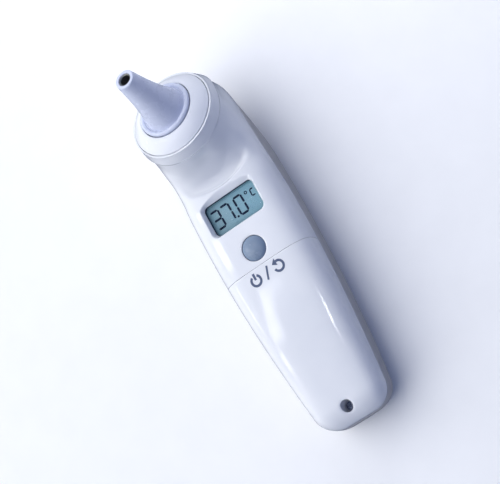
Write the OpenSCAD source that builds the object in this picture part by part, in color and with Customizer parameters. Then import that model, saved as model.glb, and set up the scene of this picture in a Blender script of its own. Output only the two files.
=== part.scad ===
// Infrared ear thermometer, lying on its back with the display up.
// +X is the user's right when the display is read, +Y runs up the handle to the head, and +Z comes out of
// the display. The origin is on the resting surface, under the middle of the whole. Sizes in millimetres.
// Inside this file, y is measured from the bottom end of the handle, and place() centres the whole.

/* [Overall] */
// Length from the bottom end to the top of the head
overall_length = 149.1; // [149.1]
// Wall thickness of the plastic shells
wall = 1.8; // [1.4:0.1:2.2]
// Widest half width of the handle
half_width = 19.6; // [19.4:0.1:19.8]
// Thickness of the handle, back to front, at its deepest
depth = 27.2; // [27:0.1:27.4]

/* [Head and probe] */
// Lean of the probe from the display's outward direction toward the top of the head
probe_lean = 23; // [22:0.5:24]
// Centre of the nose ring's groove, up the handle
nose_y = 132.5; // [132:0.1:133]
// Centre of the nose ring's groove, above the resting surface
nose_z = 35.9; // [35.7:0.1:36.1]
// Outer radius of the nose ring
nose_r = 17; // [16.8:0.1:17.1]
// Length of the probe cone beyond its flange
cone_length = 24.3; // [23:0.1:25]
// Outer radius of the probe tip
tip_r = 4; // [3.9:0.1:4.2]
// Outer radius of the cone where it meets its flange
cone_base_r = 8.8; // [8.6:0.1:9]

/* [Display and buttons] */
// Middle of the display, up the handle
display_y = 91.7; // [91:0.1:92.5]
// Width of the visible display
display_w = 22.6; // [22:0.1:23]
// Height of the visible display
display_h = 12.6; // [12:0.1:13]
// Height of the display's face above the resting surface
display_z = 24.3; // [24.1:0.1:24.5]
// Middle of the power button, up the handle
button_y = 73.7; // [73:0.1:74.5]
// Radius of the power button
button_r = 4.85; // [4.6:0.05:5]
// Travel of the power button
button_travel = 0.8; // [0.5:0.1:1]
// Middle of the scan button on the back, up the handle
scan_y = 124.5; // [124:0.1:125]
// Travel of the scan button
scan_travel = 1; // [0.6:0.1:1.2]

/* [Battery bay] */
// Top edge of the battery cover, up the handle
cover_y = 66.9; // [66:0.1:67.5]
// Length of a cell
cell_length = 44.5; // [44.5]
// Radius of a cell
cell_r = 5.2; // [5.2]
// Cover screw, up the handle
screw_y = 5.9; // [5.6:0.1:6.2]

/* [Hidden] */
$fn = 48;
eps = 0.01;

// ---------- the body's outline: a loft through stations ----------
// How much of the back's roundness is planed off, to leave the flat strip that it rests on
FLAT = 0.35;
// Each station is a slice, given by where it meets the front and the back in the plane x = 0:
// [front y, front z, back y, back z, half width, front squareness, back squareness, front share of depth]
STATIONS = [
  [-20, depth - 7.8, -20, -FLAT, half_width - 7.6, 4.0, 3.2, 0.42],
  [0, depth - 5.8, 0, -FLAT, half_width - 5.2, 4.0, 3.2, 0.42],
  [20, depth - 3.8, 20, -FLAT, half_width - 3.1, 4.2, 4.6, 0.44],
  [40, depth - 1.8, 40, -FLAT, half_width - 1.5, 4.2, 5, 0.46],
  [60, depth - 0.4, 60, -FLAT, half_width - 0.4, 4.2, 5, 0.48],
  [80, depth, 80, -FLAT, half_width, 4.2, 5, 0.48],
  [97, depth - 0.4, 98, -FLAT, half_width - 0.1, 4, 5, 0.46],
  [105, 26.1, 109.5, 0.1, half_width - 0.3, 3.6, 4.6, 0.46],
  [109.5, 29.4, 121, 1.8, half_width - 0.6, 2.9, 3.7, 0.47],
  [112, 34, 132, 6.4, half_width - 0.8, 2.4, 3.2, 0.48],
  [114, 38.7, 144.6, 15.4, half_width - 1, 2.1, 2.9, 0.5],
  [115.94, 42.93, 149.06, 28.87, half_width - 1.7, 2, 2, 0.5],
  [117.6, 46.8, 152, 38, half_width - 2, 2, 2, 0.5]
];
LAST = len(STATIONS) - 3;
END_R = 8;
COLUMNS = 44;

function catmull(a, b, c, d, t) =
  (2 * b + (c - a) * t + (2 * a - 5 * b + 4 * c - d) * t * t + (3 * b - a - 3 * c + d) * t * t * t) / 2;
function station(s) =
  let (i = min(floor(s), LAST - 1))
  catmull(STATIONS[i], STATIONS[i + 1], STATIONS[i + 2], STATIONS[i + 3], s - i);
// How far the rounding of the bottom end draws the outline in, from 1 at the end to 0 where it is over
function end_draw(y) = y >= END_R ? 0 : 1 - sqrt(1 - pow(1 - max(y, 0) / END_R, 2));

// One slice of the body at station s, drawn in by inset all round
function slice(s, inset) =
  let (
    v = station(s),
    k = end_draw(v[0] - inset),
    front = [v[0], v[1] - 6.5 * k],
    back = [v[2], v[3] + 10 * k],
    deep = norm(back - front),
    e = (back - front) / deep,
    f = front + e * inset,
    d = deep - 2 * inset,
    w = v[4] - 8 * k - inset
  )
  [for (i = [0 : COLUMNS - 1])
    let (
      a = 360 * i / COLUMNS,
      n = sin(a) > 0 ? v[5] : v[6],
      across = w * sign(cos(a)) * pow(abs(cos(a)), 2 / n),
      rise = pow(abs(sin(a)), 2 / n),
      g = sin(a) > 0 ? v[7] * d * (1 - rise) : v[7] * d + (1 - v[7]) * d * rise,
      p = f + e * g
    )
    [across, p[0], p[1]]];

// Skin through rows of points, closed at both ends
module skin(rows) {
  n = len(rows[0]);
  m = len(rows);
  polyhedron(
    points = [for (r = rows) for (p = r) p],
    faces = concat(
      [[for (i = [n - 1 : -1 : 0]) i]],
      [for (j = [0 : m - 2]) for (i = [0 : n - 1])
        let (a = j * n + i, b = j * n + (i + 1) % n) each [[a, b + n, a + n], [a, b, b + n]]],
      [[for (i = [0 : n - 1]) (m - 1) * n + i]]
    )
  );
}

// Stations where slices are taken: close together round the bottom end, then evenly
function cuts(first) = concat(
  [for (q = [0, 0.35, 0.9, 1.8, 3, 4.6, 6.6]) (first + q) / 20],
  [0.48, 0.75, 1.25, 1.75, 2.25, 2.75, 3.25, 3.75, 4.25, 4.65],
  [for (s = [5 : 0.25 : LAST]) s],
  first > 0 ? [LAST + 0.1] : []
);
module solid_body(inset) {
  difference() {
    skin([for (s = cuts(inset)) slice(s, inset)]);
    translate([-30, -10, inset - 5]) cube([60, 170, 5]);
  }
}
module hollow_body() {
  difference() {
    solid_body(0);
    solid_body(wall);
  }
}

// The line where front and rear shells meet, seen from the side: level on the handle, higher at the neck
function seam_z(y) = 13 + (y > 85 && y < 155 ? 1.9 * (1 - cos(360 * (y - 85) / 70)) : 0);
module below_seam(gap) {
  rotate([90, 0, 90])
    linear_extrude(60, center = true)
      polygon(concat([for (y = [-5 : 5 : 155]) [y, seam_z(y) - gap]], [[155, -5], [-5, -5]]));
}
module above_seam(gap) {
  rotate([90, 0, 90])
    linear_extrude(60, center = true)
      polygon(concat([for (y = [-5 : 5 : 155]) [y, seam_z(y) + gap]], [[155, 70], [-5, 70]]));
}

// ---------- frames and shared shapes ----------
module place() {
  translate([0, -overall_length / 2, 0]) children();
}
// Along the probe: z runs out of the nose, from the plane of the nose ring's groove
module on_nose() {
  translate([0, nose_y, nose_z]) rotate([-probe_lean, 0, 0]) children();
}
// Along the scan button: z runs out of the back, from the back's surface
module on_scan() {
  translate([0, scan_y, SCAN_Z]) rotate([SCAN_LEAN - 180, 0, 0]) children();
}
// A shell and its ribs, cut as one smooth faceted skin
module moulding() {
  resize([0, 0, 0]) children();
}
module rounded_rect(w, h, r) {
  hull()
    for (sx = [-1, 1], sy = [-1, 1])
      translate([sx * (w / 2 - r), sy * (h / 2 - r)]) circle(r);
}
module box(x, y, z) {
  translate([x[0], y[0], z[0]]) cube([x[1] - x[0], y[1] - y[0], z[1] - z[0]]);
}
module post(x, y, z, r) {
  translate([x, y, z[0]]) cylinder(r = r, h = z[1] - z[0]);
}

// Clearance between pieces that move past each other
RUN = 0.3;
SEAM = 0.15;
SCAN_Z = 2.9;
SCAN_LEAN = 18;
SCAN_R = 5.2;
// Depth of the scan button's stem, measured from the button's seat when it is pressed
SCAN_REACH = 9;
// Main board: its underside and thickness
BOARD_Z = 16;
BOARD_T = 1.2;
BOARD_TOP = BOARD_Z + BOARD_T;
// Housing screws: half spacing and place of the lower and upper pairs
SCREWS = [[13.2, 72.3], [12.8, 105]];
SCREW_R = 1;
SCREW_HEAD_R = 1.9;
// Where the rear shell's screw bosses meet the front shell's posts
BOSS_TOP = 13.4;
// Display: lip under the bezel, window and panel
LIP_Z = display_z + 0.1;
LIP_T = 0.5;
WINDOW_T = 0.9;
LCD_W = display_w + 2;
LCD_H = display_h + 2;
LCD_T = 2.1;
LCD_Z = display_z - WINDOW_T - 0.4 - LCD_T;
// Power button: cap height, flange and guide
BUTTON_TOP = depth + 1;
BUTTON_FLANGE_R = button_r + 0.8;
SWITCH_TOP = 21.8;
// Cover screw: seat of its head
SCREW_SEAT = 15.2;
// Battery bay
CELL_X = 5.75;
CELL_Z = 9.3;
BAY_Y = 9;
PLATE_T = 0.5;
PLATE_Y = BAY_Y + 0.9;
SPRING_L = 2.9;
FAR_Y = PLATE_Y + PLATE_T + SPRING_L + cell_length;
TRAY_TOP = 13.4;

// ---------- shells ----------
module display_recess() {
  translate([0, 0, LIP_Z + LIP_T])
    linear_extrude(10) {
      translate([0, display_y]) rounded_rect(display_w + 1.4, display_h + 1.4, 2.4);
      translate([0, display_y])
        intersection() {
          translate([0, 8.9 - 34]) circle(34);
          translate([-display_w / 2 - 0.2, 0]) square([display_w + 0.4, 10]);
        }
    }
}
module front_housing() color("#e9ebf7") place() {
  difference() {
    moulding() {
      difference() {
        hollow_body();
        below_seam(-SEAM);
        box([-30, 30], [-5, cover_y + SEAM], [-5, 60]);
        on_nose() translate([0, 0, -3]) cylinder(r = nose_r + 0.1, h = 10, $fn = 90);
      }
      // ledge under the battery cover's top edge
      difference() {
        intersection() {
          solid_body(wall + RUN);
          box([-30, 30], [cover_y - 2, cover_y + 0.6], [16, 60]);
        }
        solid_body(wall + RUN + 1.2);
      }
      // bulkhead between the battery bay and the electronics
      difference() {
        intersection() {
          solid_body(wall - 0.2);
          box([-30, 30], [cover_y + 0.5, cover_y + 1.9], [seam_z(0) + SEAM + 0.3, 60]);
        }
        box([-8, 8], [60, 75], [10, 16.8]);
      }
      // surround that carries the display window
      box(
        [-LCD_W / 2 - 1.4, LCD_W / 2 + 1.4],
        [display_y - LCD_H / 2 - 1.2, display_y + LCD_H / 2 + 1.2],
        [LIP_Z - 1.4, depth - 1.1]
      );
      // guide for the power button
      post(0, button_y, [SWITCH_TOP + 0.4, depth - 1.2], BUTTON_FLANGE_R + RUN + 0.65);
      for (p = SCREWS, side = [-1, 1])
        intersection() {
          post(side * p[0], p[1], [BOSS_TOP + 0.2, 40], 2.3);
          solid_body(wall - 0.3);
        }
    }
    display_recess();
    translate([0, display_y, LIP_Z - 3]) linear_extrude(6) rounded_rect(display_w, display_h, 2);
    box(
      [-LCD_W / 2 - 0.1, LCD_W / 2 + 0.1],
      [display_y - LCD_H / 2 - 0.1, display_y + LCD_H / 2 + 0.1],
      [LIP_Z - 3, LIP_Z]
    );
    post(0, button_y, [10, depth + 5], button_r + RUN);
    post(0, button_y, [10, depth - 2], BUTTON_FLANGE_R + RUN);
    for (p = SCREWS, side = [-1, 1]) post(side * p[0], p[1], [5, 22.5], SCREW_R + 0.02);
  }
}
module rear_housing() color("#d9dceb") place() {
  difference() {
    moulding() {
      difference() {
        hollow_body();
        above_seam(-SEAM);
      }
      for (p = SCREWS, side = [-1, 1])
        intersection() {
          post(side * p[0], p[1], [0, BOSS_TOP], 3);
          solid_body(0.5);
        }
      intersection() {
        post(0, screw_y, [0, 9.6], 2.6);
        solid_body(0.5);
      }
    }
    for (p = SCREWS, side = [-1, 1]) {
      post(side * p[0], p[1], [-5, 30], SCREW_R + 0.02);
      post(side * p[0], p[1], [-5, 4], SCREW_HEAD_R + 0.2);
    }
    post(0, screw_y, [2.5, 20], SCREW_R + 0.03);
    on_scan() translate([0, 0, -6]) cylinder(r = SCAN_R + RUN, h = 10);
  }
}
module battery_cover() color("#e6e9f8") place() {
  difference() {
    moulding() {
      difference() {
        hollow_body();
        below_seam(-SEAM);
        box([-30, 30], [cover_y - SEAM, 200], [-5, 80]);
      }
      intersection() {
        post(0, screw_y, [9.9, 40], 2.7);
        union() {
          solid_body(0.4);
          box([-5, 5], [1, 12], [0, 15]);
        }
      }
    }
    post(0, screw_y, [5, 40], SCREW_R + 0.03);
    post(0, screw_y, [SCREW_SEAT, 40], 2.4);
  }
}
module cross_slot(size, deep) {
  for (a = [0, 90]) rotate(a) translate([-size / 2, -size / 10, -deep]) cube([size, size / 5, deep + 1]);
}
module cover_screw() color("#6f7484") place() {
  difference() {
    union() {
      post(0, screw_y, [SCREW_SEAT + 0.02, SCREW_SEAT + 1.3], 2.1);
      post(0, screw_y, [3.4, SCREW_SEAT + 0.5], SCREW_R - 0.05);
    }
    translate([0, screw_y, SCREW_SEAT + 1.3]) cross_slot(2.6, 0.8);
  }
}
module housing_screws() color("#8a8f9c") place() {
  for (p = SCREWS, side = [-1, 1])
    difference() {
      union() {
        post(side * p[0], p[1], [2.8, 4], SCREW_HEAD_R);
        post(side * p[0], p[1], [3.5, 22], SCREW_R);
      }
      translate([side * p[0], p[1], 2.8]) mirror([0, 0, 1]) cross_slot(2.4, 0.7);
    }
}

// ---------- probe ----------
CONE_Z = 5.2;
TIP_Z = CONE_Z + cone_length;
module nose_ring() color("#f3f4fb") place() on_nose() {
  hole_r = 11.4;
  dome_h = 4.2;
  rotate_extrude()
    difference() {
      union() {
        polygon(concat(
          [[0, 0], [0, dome_h]],
          [for (i = [0 : 12])
            let (u = i / 12)
            [hole_r - 0.4 + (nose_r - hole_r + 0.4) * u, dome_h * (1 - pow(u, 1.7))]]
        ));
        translate([0, -2.9]) square([nose_r, 2.91]);
      }
      translate([-1, -5]) square([hole_r + 1, 15]);
      translate([0, -5]) square([15.2, 5]);
    }
}
module probe_cone() color("#9aa3c4") place() on_nose() {
  rotate_extrude()
    difference() {
      union() {
        // flange with a rounded lip
        translate([0, -2.8]) square([11, 7.3]);
        translate([10.2, 4.3]) circle(0.95);
        translate([0, 3.2]) square([10.2, 2.05]);
        // flared cone
        polygon(concat(
          [[0, CONE_Z]],
          [for (i = [0 : 12])
            let (u = i / 12, t = 1 - u)
            [tip_r + (cone_base_r - tip_r) * (0.62 * t + 0.38 * pow(t, 3)), CONE_Z + (cone_length - 0.6) * u]],
          [[tip_r - 0.5, TIP_Z], [0, TIP_Z]]
        ));
      }
      // bore at the tip, and the hollow behind it
      translate([-1, 0]) square([3.6, 50]);
      polygon([[-1, -5], [9.4, -5], [9.4, 1.5], [6.9, 4], [2.6, 22], [-1, 22]]);
    }
}
TUBE_Z = [0.5, TIP_Z - 3.5];
module waveguide_tube() color("#d8b45a") place() on_nose() {
  difference() {
    translate([0, 0, TUBE_Z[0]]) cylinder(r = 2.5, h = TUBE_Z[1] - TUBE_Z[0]);
    translate([0, 0, -1]) cylinder(r = 2.1, h = 40);
  }
}
module tip_window() color("#20242e") place() on_nose() {
  translate([0, 0, TUBE_Z[1] - 1]) cylinder(r = 2.1, h = 0.4);
}
module sensor_holder() color("#b9bdc6") place() on_nose() {
  difference() {
    translate([0, 0, -8]) cylinder(r = 6.6, h = 11.5);
    translate([0, 0, -10]) cylinder(r = 4.2, h = 10);
    cylinder(r = 2.52, h = 10);
    translate([0, 0, -9]) cylinder(r = 2.52, h = 20);
  }
}
module thermopile_sensor() color("#c8cbd2") place() on_nose() {
  difference() {
    union() {
      translate([0, 0, -4.2]) cylinder(r = 3.6, h = 4);
      translate([0, 0, -5]) cylinder(r = 4.15, h = 0.9);
      for (a = [45 : 90 : 315]) rotate(a) translate([2, 0, -10]) cylinder(r = 0.23, h = 5.5);
    }
    translate([0, 0, -0.6]) cylinder(r = 1.2, h = 2);
  }
}
module sensor_board() color("#2f6b46") place() on_nose() {
  difference() {
    translate([0, 0, -9.3]) cylinder(r = 8, h = 1.2);
    for (a = [45 : 90 : 315]) rotate(a) translate([2, 0, -12]) cylinder(r = 0.25, h = 6);
  }
}
module sensor_ribbon() color("#c98b3a") place() {
  rotate([90, 0, 90])
    linear_extrude(7, center = true)
      polygon([
        [122.6, 29.95], [120.2, 25.4], [118.3, 20.6], [118.3, BOARD_TOP],
        [118, BOARD_TOP], [118, 20.7], [119.9, 25.5], [122.3, 30.05]
      ]);
}

// ---------- display ----------
module display_window() color("#bcd0de", 0.4) place() {
  translate([0, display_y, display_z - WINDOW_T])
    linear_extrude(WINDOW_T) rounded_rect(LCD_W, LCD_H, 1);
}
module lcd_panel() color("#7ea6ba") place() {
  translate([-LCD_W / 2, display_y - LCD_H / 2, LCD_Z]) cube([LCD_W, LCD_H, LCD_T]);
}
module lcd_frame() color("#e8e9ee") place() {
  difference() {
    box(
      [-LCD_W / 2 - 1.3, LCD_W / 2 + 1.3],
      [display_y - LCD_H / 2 - 1.1, display_y + LCD_H / 2 + 1.1],
      [BOARD_TOP, LCD_Z + LCD_T]
    );
    box(
      [-LCD_W / 2, LCD_W / 2],
      [display_y - LCD_H / 2, display_y + LCD_H / 2],
      [LCD_Z, LCD_Z + 5]
    );
    box(
      [-LCD_W / 2 + 0.8, LCD_W / 2 - 0.8],
      [display_y - LCD_H / 2 + 0.5, display_y + LCD_H / 2 - 0.5],
      [BOARD_Z, LCD_Z + 1]
    );
  }
}
module lcd_connector_strips() color("#4a4d55") place() {
  for (side = [-1, 1])
    translate([0, display_y + side * (LCD_H / 2 - 1.5), (BOARD_TOP + LCD_Z) / 2])
      cube([LCD_W - 2, 1.8, LCD_Z - BOARD_TOP], center = true);
}

// ---------- electronics ----------
module main_board() color("#2f6b46") place() {
  difference() {
    translate([0, 96, BOARD_Z]) linear_extrude(BOARD_T) rounded_rect(31, 52, 3);
    for (p = SCREWS, side = [-1, 1]) post(side * p[0], p[1], [10, 30], 2.6);
  }
}
module microcontroller() color("#1f2126") place() {
  translate([-5, display_y - 5, BOARD_Z - 1.5]) cube([10, 10, 1.5]);
}
module board_components() color("#b98a4b") place() {
  // capacitors and resistors
  for (x = [-11.5 : 2.3 : -7]) translate([x, 84, BOARD_Z - 0.8]) cube([1.2, 2.4, 0.8]);
  for (x = [7.5 : 2.3 : 12.5]) translate([x, 98, BOARD_Z - 0.8]) cube([1.2, 2.4, 0.8]);
  // crystal
  translate([10.5, 86, BOARD_Z - 2.6]) cylinder(r = 1.6, h = 2.6);
  // memory chip
  translate([-12, 97, BOARD_Z - 1.4]) cube([5, 4, 1.4]);
}
module power_button() color("#8391b4") place() translate([0, button_y, 0]) {
  rotate_extrude() {
    intersection() {
      translate([0, BUTTON_TOP - 12.5]) circle(12.5, $fn = 96);
      translate([0, 24]) square([button_r, 10]);
    }
    translate([0, 23.4]) square([BUTTON_FLANGE_R, 1.5]);
    translate([0, SWITCH_TOP + button_travel + 0.1]) square([1.5, 2]);
  }
}
module power_switch() color("#3a3d44") place() translate([0, button_y, 0]) {
  translate([-3, -3, BOARD_TOP]) cube([6, 6, 3.4]);
  translate([0, 0, BOARD_TOP + 3.4]) cylinder(r = 1.7, h = SWITCH_TOP - BOARD_TOP - 3.4);
}
module scan_button() color("#8391b4") place() on_scan() {
  difference() {
    union() {
      translate([0, 0, -3]) cylinder(r = SCAN_R, h = 3.5);
      translate([0, 0, -3.9]) cylinder(r = SCAN_R + 1.2, h = 1.1);
      translate([0, 0, scan_travel - SCAN_REACH]) cylinder(r = 1.5, h = SCAN_REACH - scan_travel - 3);
    }
    translate([0, 0, 14]) sphere(14, $fn = 96);
  }
}
module scan_switch() color("#3a3d44") place() translate([0, scan_y - 2.5, 0]) {
  translate([-3, -3.5, 13.4]) cube([6, 6, BOARD_Z - 13.4]);
  translate([0, -0.5, 12.4]) cylinder(r = 1.7, h = 1.2);
}
module buzzer() color("#c9a24a") place() translate([0, display_y, wall + 0.05]) {
  cylinder(r = 6.5, h = 2.4);
}

// ---------- battery bay ----------
module battery_tray() color("#cfd3de") place() {
  moulding()
    difference() {
      intersection() {
        box([-12, 12], [BAY_Y, FAR_Y + PLATE_T + 1.6], [wall + 0.1, TRAY_TOP]);
        solid_body(wall + 0.1);
      }
      for (side = [-1, 1]) {
        translate([side * CELL_X, PLATE_Y, CELL_Z])
          rotate([-90, 0, 0]) cylinder(r = cell_r + 0.2, h = FAR_Y + PLATE_T - PLATE_Y);
        box(
          [side * CELL_X - 5.4, side * CELL_X + 5.4],
          [PLATE_Y, FAR_Y + PLATE_T],
          [CELL_Z, 30]
        );
      }
      // slot for the bridge plate
      box([-10.4, 10.4], [PLATE_Y, PLATE_Y + PLATE_T + 0.1], [CELL_Z - 2.6, 30]);
    }
}
// One cell along +y, flat end at y = 0 and positive button at its far end
module cell() {
  rotate([-90, 0, 0]) {
    cylinder(r = cell_r, h = cell_length - 1);
    cylinder(r = 1.9, h = cell_length);
  }
}
module left_cell() color("#4f6fa8") place()
  translate([-CELL_X, FAR_Y - cell_length, CELL_Z]) cell();
module right_cell() color("#4f6fa8") place()
  translate([CELL_X, PLATE_Y + PLATE_T + cell_length, CELL_Z]) rotate(180) cell();
module bridge_plate() color("#c9ccd2") place() {
  box([-10.2, 10.2], [PLATE_Y, PLATE_Y + PLATE_T], [CELL_Z - 2.5, CELL_Z + 4]);
}
module terminal_plates() color("#c9ccd2") place() {
  for (side = [-1, 1]) {
    box(
      [side * CELL_X - 3.6, side * CELL_X + 3.6],
      [FAR_Y, FAR_Y + PLATE_T],
      [CELL_Z - 3.5, BOARD_Z - 0.02]
    );
    box(
      [side * CELL_X - 1.5, side * CELL_X + 1.5],
      [FAR_Y, cover_y + 6],
      [BOARD_Z - 0.5, BOARD_Z - 0.02]
    );
  }
}
module spring_cone() {
  rotate([-90, 0, 0])
    difference() {
      cylinder(r1 = 3.4, r2 = 2.4, h = SPRING_L);
      translate([0, 0, -eps]) cylinder(r1 = 2.9, r2 = 1.9, h = SPRING_L + 2 * eps);
    }
}
module battery_springs() color("#c9ccd2") place() {
  translate([-CELL_X, PLATE_Y + PLATE_T, CELL_Z]) spring_cone();
  translate([CELL_X, FAR_Y, CELL_Z]) rotate(180) spring_cone();
}

front_housing();
rear_housing();
battery_cover();
cover_screw();
housing_screws();
nose_ring();
probe_cone();
waveguide_tube();
tip_window();
sensor_holder();
thermopile_sensor();
sensor_board();
sensor_ribbon();
display_window();
lcd_panel();
lcd_frame();
lcd_connector_strips();
main_board();
microcontroller();
board_components();
power_button();
power_switch();
scan_button();
scan_switch();
battery_tray();
left_cell();
right_cell();
bridge_plate();
terminal_plates();
battery_springs();
buzzer();
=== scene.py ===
"""Looks of an infrared ear thermometer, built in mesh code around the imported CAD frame.

Lengths are written in millimetres, with y measured from the bottom end of the handle, as in the CAD
source. to_frame() turns them into the frame's metres. +X is the user's right, +Y runs up the handle to
the head, and +Z comes out of the display.
"""
import math

import bmesh
import bpy
import numpy as np
from mathutils import Matrix, Vector


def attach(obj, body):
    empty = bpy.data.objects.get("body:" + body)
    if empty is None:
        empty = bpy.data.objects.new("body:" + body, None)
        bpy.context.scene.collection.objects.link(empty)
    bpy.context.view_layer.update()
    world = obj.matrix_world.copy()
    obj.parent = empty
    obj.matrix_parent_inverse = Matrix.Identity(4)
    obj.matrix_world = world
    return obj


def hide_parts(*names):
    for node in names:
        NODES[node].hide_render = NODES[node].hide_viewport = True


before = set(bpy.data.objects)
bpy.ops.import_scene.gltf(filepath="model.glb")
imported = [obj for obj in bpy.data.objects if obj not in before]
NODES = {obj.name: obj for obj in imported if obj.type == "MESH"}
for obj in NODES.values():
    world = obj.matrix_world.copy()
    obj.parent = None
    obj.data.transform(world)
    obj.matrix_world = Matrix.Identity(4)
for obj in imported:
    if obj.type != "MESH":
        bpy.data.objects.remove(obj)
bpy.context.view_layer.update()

# ---------- sizes shared with the CAD model, in mm ----------
MM = 0.001
HALF_LENGTH = 149.1 / 2
WALL = 1.8
HALF_WIDTH = 19.6
DEPTH = 27.2
SEAM = 0.08
COVER_Y = 66.9
PROBE_LEAN = math.radians(23)
NOSE = np.array((0.0, 132.5, 35.9))
NOSE_R = 17.0
NOSE_HOLE_R = 11.4
LEDGE_R = 16.2
LEDGE_DEPTH = 3
CONE_Z = 5.2
CONE_LENGTH = 24.3
TIP_R = 4.0
CONE_BASE_R = 8.8
DISPLAY_Y = 91.7
DISPLAY_W = 22.6
DISPLAY_H = 12.6
DISPLAY_CORNER = 2
DISPLAY_Z = 24.3
LCD_W = DISPLAY_W + 2
LCD_H = DISPLAY_H + 2
LCD_TOP = DISPLAY_Z - 0.96
LIP_Z = DISPLAY_Z + 0.1
LIP_T = 0.5
BUTTON_Y = 73.7
BUTTON_R = 4.85
BUTTON_TOP = DEPTH + 1
BUTTON_HOLE_R = BUTTON_R + 0.14
DOME_R = 7.5
RUN = 0.3
SCAN = np.array((0.0, 124.5, 2.9))
SCAN_LEAN = math.radians(18)
SCAN_R = 5.2
SCREW_Y = 5.9
SCREW_SEAT = 15.2
SCREW_HOLE_R = 1.03
RECESS_R = 2.4
HOUSING_SCREWS = ((13.2, 72.3), (12.8, 105))
BOSS_TOP = 13.4
CELL_X = 5.75
CELL_Z = 9.3
CELL_R = 5.2
CELL_LENGTH = 44.5
PLATE_Y = 9.9
PLATE_T = 0.5
SPRING_LENGTH = 2.9
FAR_Y = PLATE_Y + PLATE_T + SPRING_LENGTH + CELL_LENGTH

# Radius of the rounded edges along the seams, and the gap left each side of the cover's upper edge
EDGE = 0.16
PARTING = 0.04
# How far in a rounded edge's points lie, and their heights off the seam
TURN_IN = [EDGE * (1 - math.cos(math.radians(a))) for a in (0, 25, 45, 65, 90)]
LEVELS = [SEAM + t for t in TURN_IN]
# The bottom end's rounding: how far up the handle it starts, and how far it draws in each side
END_R = 8
END_FRONT = 6.5
END_BACK = 10
END_SIDE = 8
# Height of the seam along the handle, and the swell that lifts it at the head
SEAM_Z = 13
SWELL = 1.9
SWELL_Y = 85
SWELL_LENGTH = 70

# The outline at stations along the body. On the handle one follows another every STEP_Y.
# [front y, front z, back y, back z, half width, front squareness, back squareness, front share]
STEP_Y = 20
FLAT = 0.35
STATIONS = np.array((
    (-20, DEPTH - 7.8, -20, -FLAT, HALF_WIDTH - 7.6, 4.0, 3.2, 0.42),
    (0, DEPTH - 5.8, 0, -FLAT, HALF_WIDTH - 5.2, 4.0, 3.2, 0.42),
    (20, DEPTH - 3.8, 20, -FLAT, HALF_WIDTH - 3.1, 4.2, 4.6, 0.44),
    (40, DEPTH - 1.8, 40, -FLAT, HALF_WIDTH - 1.5, 4.2, 5, 0.46),
    (60, DEPTH - 0.4, 60, -FLAT, HALF_WIDTH - 0.4, 4.2, 5, 0.48),
    (80, DEPTH, 80, -FLAT, HALF_WIDTH, 4.2, 5, 0.48),
    (97, DEPTH - 0.4, 98, -FLAT, HALF_WIDTH - 0.1, 4, 5, 0.46),
    (105, 26.1, 109.5, 0.1, HALF_WIDTH - 0.3, 3.6, 4.6, 0.46),
    (109.5, 29.4, 121, 1.8, HALF_WIDTH - 0.6, 2.9, 3.7, 0.47),
    (112, 34, 132, 6.4, HALF_WIDTH - 0.8, 2.4, 3.2, 0.48),
    (114, 38.7, 144.6, 15.4, HALF_WIDTH - 1, 2.1, 2.9, 0.5),
    (115.94, 42.93, 149.06, 28.87, HALF_WIDTH - 1.7, 2, 2, 0.5),
    (117.6, 46.8, 152, 38, HALF_WIDTH - 2, 2, 2, 0.5),
))
LAST = len(STATIONS) - 3


# ---------- mesh tools ----------
def to_frame(points):
    """Millimetres from the bottom end, to the frame's metres."""
    return (np.asarray(points, float) - (0, HALF_LENGTH, 0)) * MM


def turned(points, lean, origin):
    """Points written along a leaning axis, put where that axis starts. The axis leans from +Z to +Y."""
    p = np.asarray(points, float)
    c, s = math.cos(lean), math.sin(lean)
    y = p[:, 1] * c + p[:, 2] * s
    z = -p[:, 1] * s + p[:, 2] * c
    return np.stack([p[:, 0], y, z], 1) + origin


def on_nose(points):
    return turned(points, PROBE_LEAN, NOSE)


def on_scan(points):
    return turned(points, math.pi - SCAN_LEAN, SCAN)


def at(x, y, z):
    """A placing for shapes that stand upright at one point."""
    return lambda points: np.asarray(points, float) + (x, y, z)


class Mesh:
    """Points and faces of one mesh, gathered piece by piece."""

    def __init__(self):
        self.points = []
        self.faces = []

    def add(self, points):
        first = len(self.points)
        self.points.extend(map(tuple, points))
        return list(range(first, len(self.points)))

    def face(self, corners):
        kept = [c for k, c in enumerate(corners) if c != corners[k - 1]]
        if len(set(kept)) > 2:
            self.faces.append(kept)

    def sheet(self, grid):
        """Faces between the points of a grid of indices."""
        for low, high in zip(grid, grid[1:]):
            for j in range(len(low) - 1):
                self.face((low[j], low[j + 1], high[j + 1], high[j]))

    def tube(self, low, high):
        """Faces between two closed rings of indices."""
        for j in range(len(low)):
            i = (j + 1) % len(low)
            self.face((low[j], low[i], high[i], high[j]))

    def ring(self, outline, height, place):
        """A closed (x, y) outline's points at one height."""
        return self.add(place(np.column_stack([outline, np.full(len(outline), height)])))

    def strip(self, fine, coarse, steps):
        """Faces between a fine row and a coarse one that has the fine row's points at steps."""
        for k in range(len(steps) - 1):
            run = fine[steps[k]:steps[k + 1] + 1]
            self.face([*run, coarse[k + 1], coarse[k]])

    def object(self, name, sharp=40):
        mesh = bpy.data.meshes.new(name)
        mesh.from_pydata(to_frame(self.points).tolist(), [], self.faces)
        bm = bmesh.new()
        bm.from_mesh(mesh)
        bmesh.ops.delete(bm, geom=[v for v in bm.verts if not v.link_faces], context="VERTS")
        bmesh.ops.recalc_face_normals(bm, faces=bm.faces)
        bm.to_mesh(mesh)
        bm.free()
        obj = bpy.data.objects.new(name, mesh)
        bpy.context.scene.collection.objects.link(obj)
        smooth(obj, sharp)
        return obj


def smooth(obj, sharp=40):
    """Smooth shading, but for edges that turn by more than sharp degrees."""
    obj.data.shade_smooth()
    obj.data.set_sharp_from_angle(angle=math.radians(sharp))


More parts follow.
